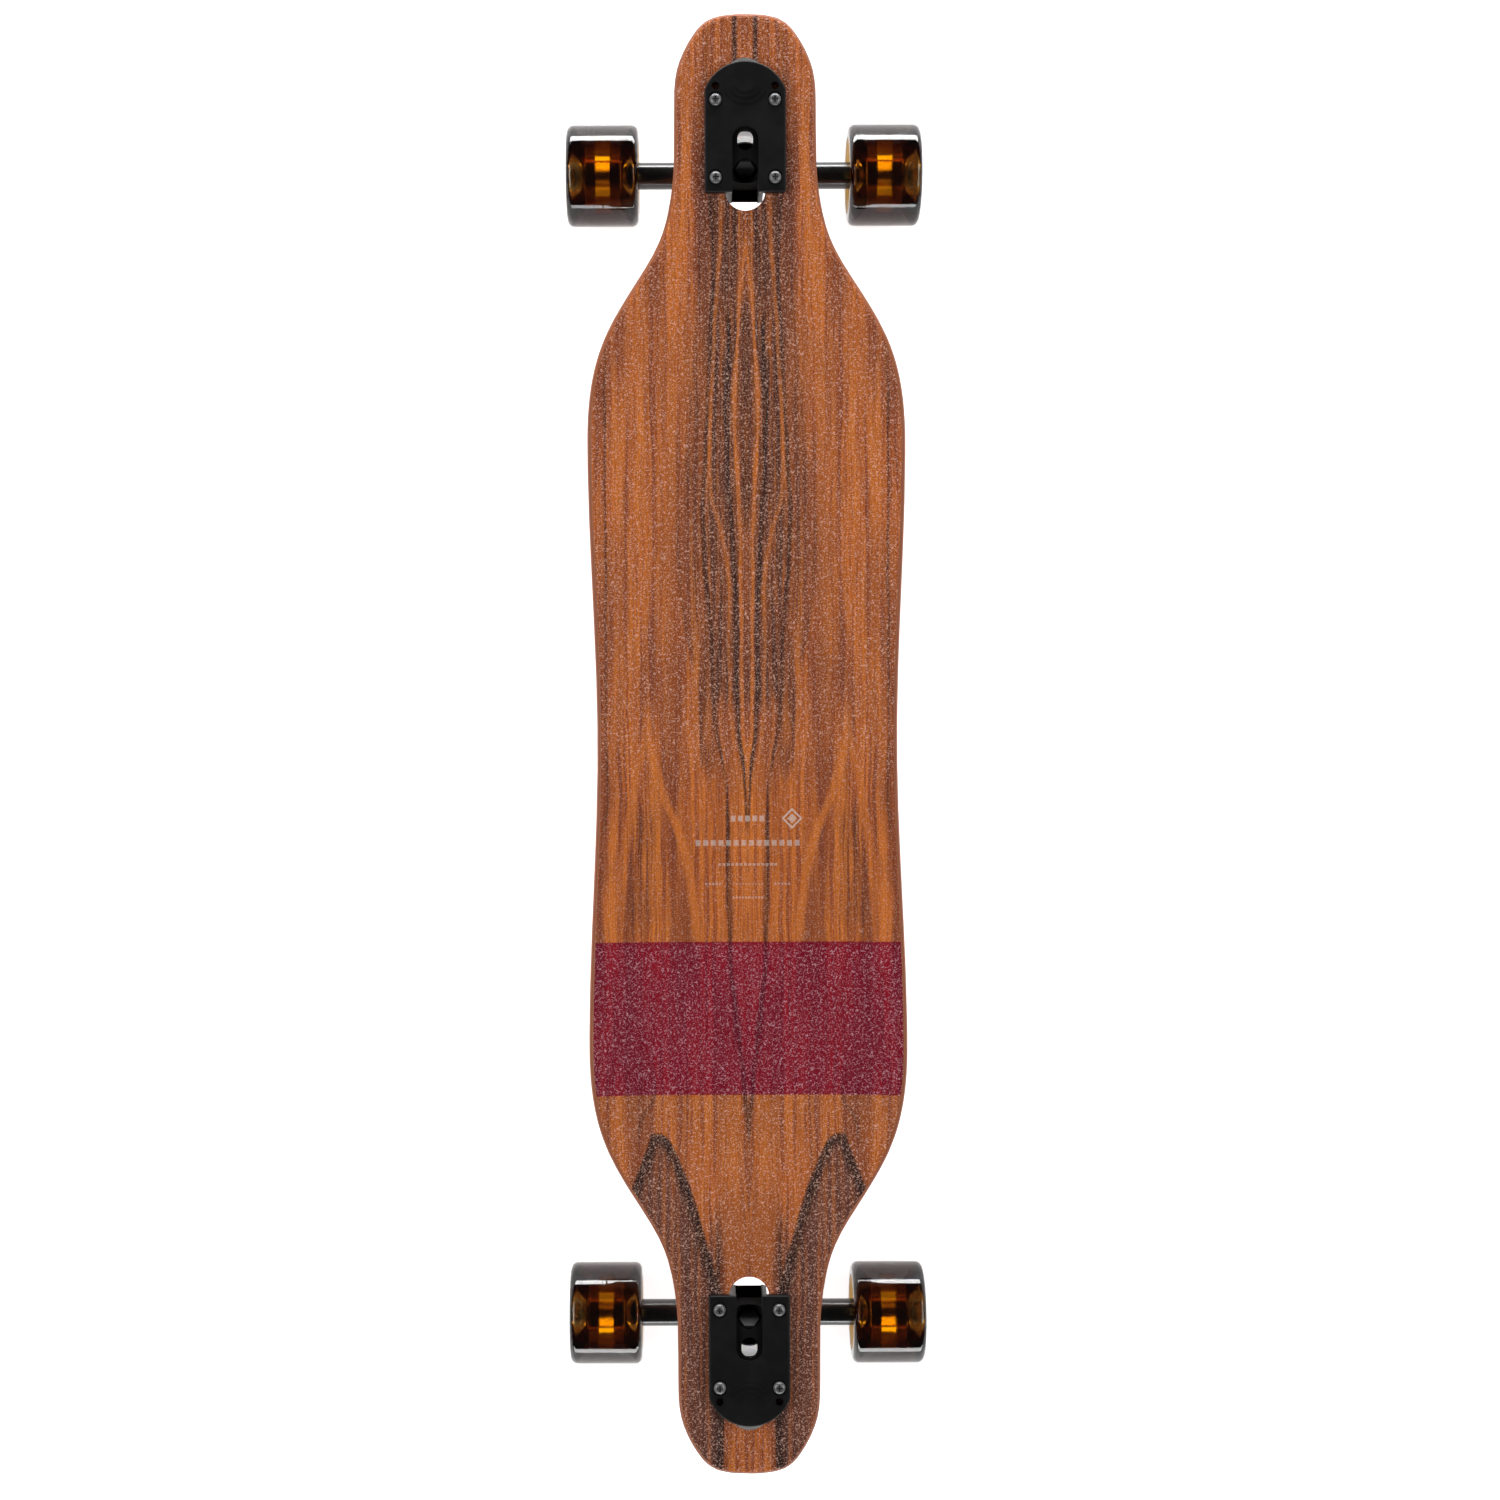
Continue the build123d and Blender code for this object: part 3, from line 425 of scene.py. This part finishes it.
def amber_urethane():
    """Clear dark amber urethane, tinted through its depth."""
    g = Graph("amber_urethane")
    cloud = g.noise(g.point, 45.0, 3, 0.6)
    scuffs = g.noise(g.scaled((700, 120, 120)), 1.0, 2, 0.5)
    g.set(base_color=g.mix(g.ramp(cloud, 0.35, 0.65), (0.86, 0.74, 0.52), (1.0, 0.88, 0.66)),
          roughness=g.ramp(scuffs, 0.35, 0.75, 0.03, 0.09))
    g.shader.inputs["Transmission Weight"].default_value = 1.0
    g.shader.inputs["IOR"].default_value = 1.44
    g.shader.inputs["Specular IOR Level"].default_value = 0.45
    depth = g.tree.nodes.new("ShaderNodeVolumeAbsorption")
    depth.inputs["Color"].default_value = (0.70, 0.55, 0.22, 1)
    depth.inputs["Density"].default_value = 240.0
    g.tree.links.new(depth.outputs[0], g.output.inputs["Volume"])
    return g.material


# The hub lies inside this radius of the axle. OUTER_GLINT is on its side towards the board's end.
HUB_RADIUS = 9.8 * MM
OUTER_GLINT = 6.5
INNER_GLINT = 0.9


def core_plastic():
    """Clear amber core. Two emitting patches on its hub stand in for light gathered round the spacer."""
    g = Graph("core_plastic")
    x, y, z = g.split(g.point)
    cloud = g.noise(g.point, 120.0, 2, 0.5)
    out = g.math("SUBTRACT", g.math("ABSOLUTE", y), AXLE_Y)
    up = g.math("SUBTRACT", z, AXLE_Z)
    radius = g.math("SQRT", g.math("ADD", g.math("MULTIPLY", out, out), g.math("MULTIPLY", up, up)))
    hub = g.ramp(radius, HUB_RADIUS + 0.6 * MM, HUB_RADIUS)
    glint = g.math("ADD", g.ramp(out, 6.4 * MM, 7.2 * MM, 0, OUTER_GLINT),
                   g.ramp(out, -7.0 * MM, -7.6 * MM, 0, INNER_GLINT))
    g.set(base_color=g.mix(g.ramp(cloud, 0.3, 0.7), (0.98, 0.66, 0.16), (1.0, 0.74, 0.22)),
          roughness=g.ramp(cloud, 0.3, 0.7, 0.12, 0.2), emission_strength=g.math("MULTIPLY", hub, glint))
    g.shader.inputs["Transmission Weight"].default_value = 0.9
    g.shader.inputs["IOR"].default_value = 1.48
    g.shader.inputs["Emission Color"].default_value = (0.85, 0.80, 0.01, 1)
    return g.material


SLOT_HALF = 9.0 * MM
SLOT_END_Y = 0.432


def baseplate_black():
    """Satin black casting, matt inside the slot round the kingpin, where painted shade darkens its colour.
    """
    g = Graph("cast_black")
    x, y, z = g.split(g.point)
    peel = g.noise(g.point, 900.0, 2, 0.5)
    cloud = g.noise(g.point, 60.0, 3, 0.6)
    # Mask of the slot round the kingpin: its colour is darkened there as painted shade, and made matt.
    across = g.ramp(g.math("ABSOLUTE", x), SLOT_HALF + 0.6 * MM, SLOT_HALF)
    inside = g.math("MULTIPLY", across, g.ramp(z, DECK_TOP + 5 * MM, DECK_TOP + 4 * MM))
    inside = g.math("MULTIPLY", inside, g.ramp(g.math("ABSOLUTE", y), SLOT_END_Y + 2 * MM, SLOT_END_Y))
    paint = g.mix(g.ramp(cloud, 0.3, 0.7), (0.0042, 0.0042, 0.0045), (0.0056, 0.0056, 0.0060))
    g.set(base_color=g.mix(inside, paint, (0.0012, 0.0012, 0.0012)),
          roughness=g.math("ADD", g.ramp(cloud, 0.3, 0.7, 0.42, 0.50), g.math("MULTIPLY", inside, 0.5)))
    g.shader.inputs["Specular IOR Level"].default_value = 0.2
    g.bump(peel, 0.00003, 0.5)
    return g.material


def set_constant(material, socket, value):
    """Give one socket of a finished material's shader a constant."""
    material.node_tree.nodes["Principled BSDF"].inputs[socket].default_value = value


BUSHING_GLOW = 0.35
cast_black = baseplate_black()
gloss_black = painted("gloss_black", (0.0045, 0.0045, 0.0048), 0.20)
black_steel = painted("black_steel", (0.0040, 0.0040, 0.0043), 0.50, 1500.0)
set_constant(black_steel, "Specular IOR Level", 0.25)
bright_zinc = metal("bright_zinc", (0.72, 0.72, 0.73), 0.20)
nickel = metal("nickel", (0.15, 0.15, 0.155), 0.34)
set_constant(nickel, "Metallic", 0.4)
turned_steel = metal("turned_steel", (0.60, 0.60, 0.61), 0.26, (3000.0, 60.0, 60.0))
# The bushings' own light stands in for daylight that comes through them from below.
bushing_urethane = soft("bushing_urethane", (0.92, 0.92, 0.90), 0.4, 0.6)
set_constant(bushing_urethane, "Emission Strength", BUSHING_GLOW)
MATERIALS = {
    "top_veneer": veneer("top_veneer", True),
    "bottom_veneer": veneer("bottom_veneer", False),
    "core_wood": core_wood(),
    "cast_black": cast_black,
    "cup_rubber": soft("cup_rubber", (0.02, 0.02, 0.02), 0.6),
    "black_steel": black_steel,
    "zinc_steel": bright_zinc,
    "nickel_steel": nickel,
    "axle_steel": turned_steel,
    "bearing_steel": metal("bearing_steel", (0.66, 0.66, 0.67), 0.18),
    "spacer_metal": metal("spacer_metal", (0.75, 0.75, 0.76), 0.3, (3000.0, 80.0, 80.0)),
    "shield": metal("shield", (0.30, 0.30, 0.31), 0.35),
    "bushing_urethane": bushing_urethane,
    "amber_urethane": amber_urethane(),
    "core_plastic": core_plastic(),
}


def shade_smooth(obj, angle=32):
    mesh = obj.data
    for polygon in mesh.polygons:
        polygon.use_smooth = True
    mesh.set_sharp_from_angle(angle=math.radians(angle))


for entry in frame["record"]["subparts"]:
    obj = nodes[entry["node"]]
    material = MATERIALS[entry["material_slot"]]
    if entry["node"].endswith("_hanger"):
        material = gloss_black
    obj.data.materials.clear()
    obj.data.materials.append(material)
    shade_smooth(obj)


# ---- Wheels: turned urethane with rolled lips and a mould line ----
def arc(cx, cr, radius, start, end, steps):
    """Points of an arc in the (across, radius) half plane, angles in degrees from the across axis."""
    angles = [math.radians(start + (end - start) * i / steps) for i in range(steps + 1)]
    return [(cx + radius * math.cos(a), cr + radius * math.sin(a)) for a in angles]


def lathe(name, profile, centre, segments=160):
    """Turn a closed (across, radius) profile about the X axis through centre."""
    mesh = bpy.data.meshes.new(name)
    bm = bmesh.new()
    rings = []
    for i in range(segments):
        turn = 2 * math.pi * i / segments
        along_y, along_z = math.cos(turn), math.sin(turn)
        ring = [(centre.x + a, centre.y + r * along_y, centre.z + r * along_z) for a, r in profile]
        rings.append([bm.verts.new(place) for place in ring])
    count = len(profile)
    for i in range(segments):
        here, after = rings[i], rings[(i + 1) % segments]
        for j in range(count):
            bm.faces.new((here[j], here[(j + 1) % count], after[(j + 1) % count], after[j]))
    bmesh.ops.recalc_face_normals(bm, faces=bm.faces)
    bm.to_mesh(mesh)
    bm.free()
    obj = bpy.data.objects.new(name, mesh)
    bpy.context.scene.collection.objects.link(obj)
    shade_smooth(obj, 40)
    return obj


def wheel_profile(half_width, radius):
    """The wheel's section: from the tread's middle outward and in to the core, mirrored to close it."""
    lip = 5.0 * MM
    overlap = 0.06 * MM
    half = [(2.0 * MM, radius), (half_width - lip, radius)]
    half += arc(half_width - lip, radius - lip, lip, 90, 0, 12)[1:]
    half += [(half_width, 28.6 * MM)]
    half += arc(half_width - 1.6 * MM, 28.0 * MM, 1.6 * MM, 0, -60, 6)
    half += [(half_width - 3.6 * MM, 25.4 * MM), (14.6 * MM, 18.6 * MM)]
    half += [(12.9 * MM, 17.2 * MM), (12.4 * MM, 16.4 * MM)]
    half += [(12.3 * MM, 15.5 * MM - overlap), (5.75 * MM - overlap, 15.5 * MM - overlap)]
    half += [(5.75 * MM - overlap, 19.0 * MM - overlap)]
    mirrored = [(-a, r) for a, r in reversed(half)]
    # A fine raised mould line round the middle of the tread.
    seam = [(-0.25 * MM, radius - 0.02 * MM), (0, radius), (0.25 * MM, radius - 0.02 * MM)]
    return seam + half + mirrored


for end in ENDS:
    for side in SIDES:
        low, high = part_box(f"{end}_{side}_wheel")
        centre = (low + high) / 2
        section = wheel_profile((high.x - low.x) / 2, (high.z - low.z) / 2)
        tyre = lathe(f"{end}_{side}_cast_wheel", section, centre)
        tyre.data.materials.append(MATERIALS["amber_urethane"])
        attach(tyre, f"{end}_{side}_wheel_body")
        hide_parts(f"{end}_{side}_wheel")


# ---- Floor, light and camera ----
floor_mesh = bpy.data.meshes.new("floor")
FLOOR_HALF = 12.0
FLOOR_GLOW = 0.75
floor_corners = [(FLOOR_HALF * x, FLOOR_HALF * y, 0) for x, y in ((-1, -1), (1, -1), (1, 1), (-1, 1))]
floor_mesh.from_pydata(floor_corners, [], [(0, 1, 2, 3)])
floor = bpy.data.objects.new("floor", floor_mesh)
floor.location.z = -0.5 * MM
bpy.context.scene.collection.objects.link(floor)
floor_graph = Graph("floor")
floor_graph.set(base_color=(0.85, 0.85, 0.85), roughness=0.7)
floor_graph.set(emission_color=(1.0, 1.0, 1.0), emission_strength=FLOOR_GLOW)
floor_mesh.materials.append(floor_graph.material)

world = bpy.data.worlds.new("studio")
bpy.context.scene.world = world
world.use_nodes = True
# A dim sky that turns pale just above the horizon.
sky = world.node_tree.nodes["Background"]
sky.inputs["Color"].default_value = (1, 1, 1, 1)
sky_point = world.node_tree.nodes.new("ShaderNodeTexCoord")
sky_axes = world.node_tree.nodes.new("ShaderNodeSeparateXYZ")
sky_fade = world.node_tree.nodes.new("ShaderNodeMapRange")
sky_fade.interpolation_type = "SMOOTHSTEP"
SKY_FADE = {"From Min": 0.02, "From Max": 0.22, "To Min": 0.75, "To Max": 0.055}
for socket, value in SKY_FADE.items():
    sky_fade.inputs[socket].default_value = value
world.node_tree.links.new(sky_point.outputs["Generated"], sky_axes.inputs[0])
world.node_tree.links.new(sky_axes.outputs["Z"], sky_fade.inputs["Value"])
world.node_tree.links.new(sky_fade.outputs["Result"], sky.inputs["Strength"])


def softbox(name, place, size, power, aim=(0, 0, 0.08)):
    light = bpy.data.lights.new(name, "AREA")
    light.shape = "RECTANGLE"
    light.size, light.size_y = size
    light.energy = power
    obj = bpy.data.objects.new(name, light)
    obj.location = place
    obj.rotation_mode = "QUATERNION"
    obj.rotation_quaternion = (Vector(aim) - Vector(place)).to_track_quat("-Z", "Y")
    bpy.context.scene.collection.objects.link(obj)


softbox("softbox_nose", (0, 2.3, 0.30), (2.6, 0.50), 92)
softbox("softbox_tail", (0, -2.3, 0.28), (2.6, 0.40), 32)
softbox("softbox_left", (-2.0, 0, 1.8), (2.0, 1.2), 42)
softbox("softbox_right", (2.0, 0, 1.8), (2.0, 1.2), 36)

CAMERA_HEIGHT = 1.75
PICTURE_WIDTH = 1.0439
SENSOR = 36.0
camera_data = bpy.data.cameras.new("camera")
camera_data.sensor_width = SENSOR
camera_data.lens = SENSOR * CAMERA_HEIGHT / PICTURE_WIDTH
camera = bpy.data.objects.new("camera", camera_data)
bpy.context.scene.collection.objects.link(camera)
# It looks straight down from a little left of the middle; its shift brings the board back to the centre.
camera_place = Vector((-0.044, -0.0042, DECK_TOP + CAMERA_HEIGHT))
PICTURE_CENTRE_X = 0.0019
CAMERA_ROLL = math.radians(-0.2)
camera_data.shift_x = (PICTURE_CENTRE_X - camera_place.x) / PICTURE_WIDTH
camera.matrix_world = Matrix.Translation(camera_place) @ Matrix.Rotation(CAMERA_ROLL, 4, "Z")
bpy.context.scene.camera = camera
bpy.context.scene.view_settings.view_transform = "Standard"
bpy.context.scene.view_settings.look = "None"
